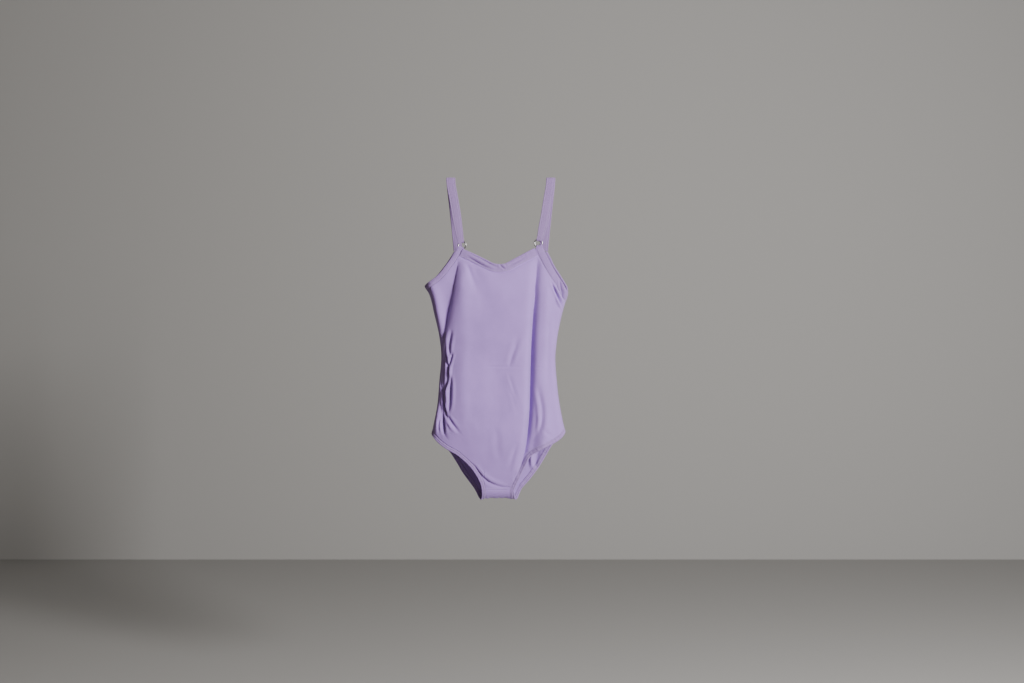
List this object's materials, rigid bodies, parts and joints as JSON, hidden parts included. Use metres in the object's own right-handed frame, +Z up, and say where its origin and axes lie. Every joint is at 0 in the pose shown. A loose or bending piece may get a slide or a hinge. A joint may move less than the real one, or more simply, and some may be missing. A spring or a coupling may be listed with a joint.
{
  "type": "camisole leotard",
  "caption": "Sleeveless knitted camisole leotard with a shallow V neckline and narrow straps joined by small metal rings, hanging open and empty by its straps.",
  "frame": {"origin": "midway between the tops of the two straps, where the garment is held up", "axes": "+Z up, -Y out of the front of the garment towards the viewer, +X to the viewer's right"},
  "size_m": [0.2011, 0.0639, 0.4502],
  "materials": {
    "jersey": "matt fine jersey, lilac",
    "band": "matt folded jersey band with a row of stitches, lilac",
    "strap": "matt folded jersey strap, lilac",
    "ring_metal": "grey polished metal"
  },
  "bodies": {
    "root": {"front_body": "jersey", "back_body": "jersey", "neckline_binding_front": "band", "neckline_binding_back": "band", "armhole_binding_left": "band", "armhole_binding_right": "band", "leg_hem_left": "band", "leg_hem_right": "band", "strap_left": "strap", "strap_right": "strap", "ring_left": "ring_metal", "ring_right": "ring_metal"}
  },
  "joints": []
}
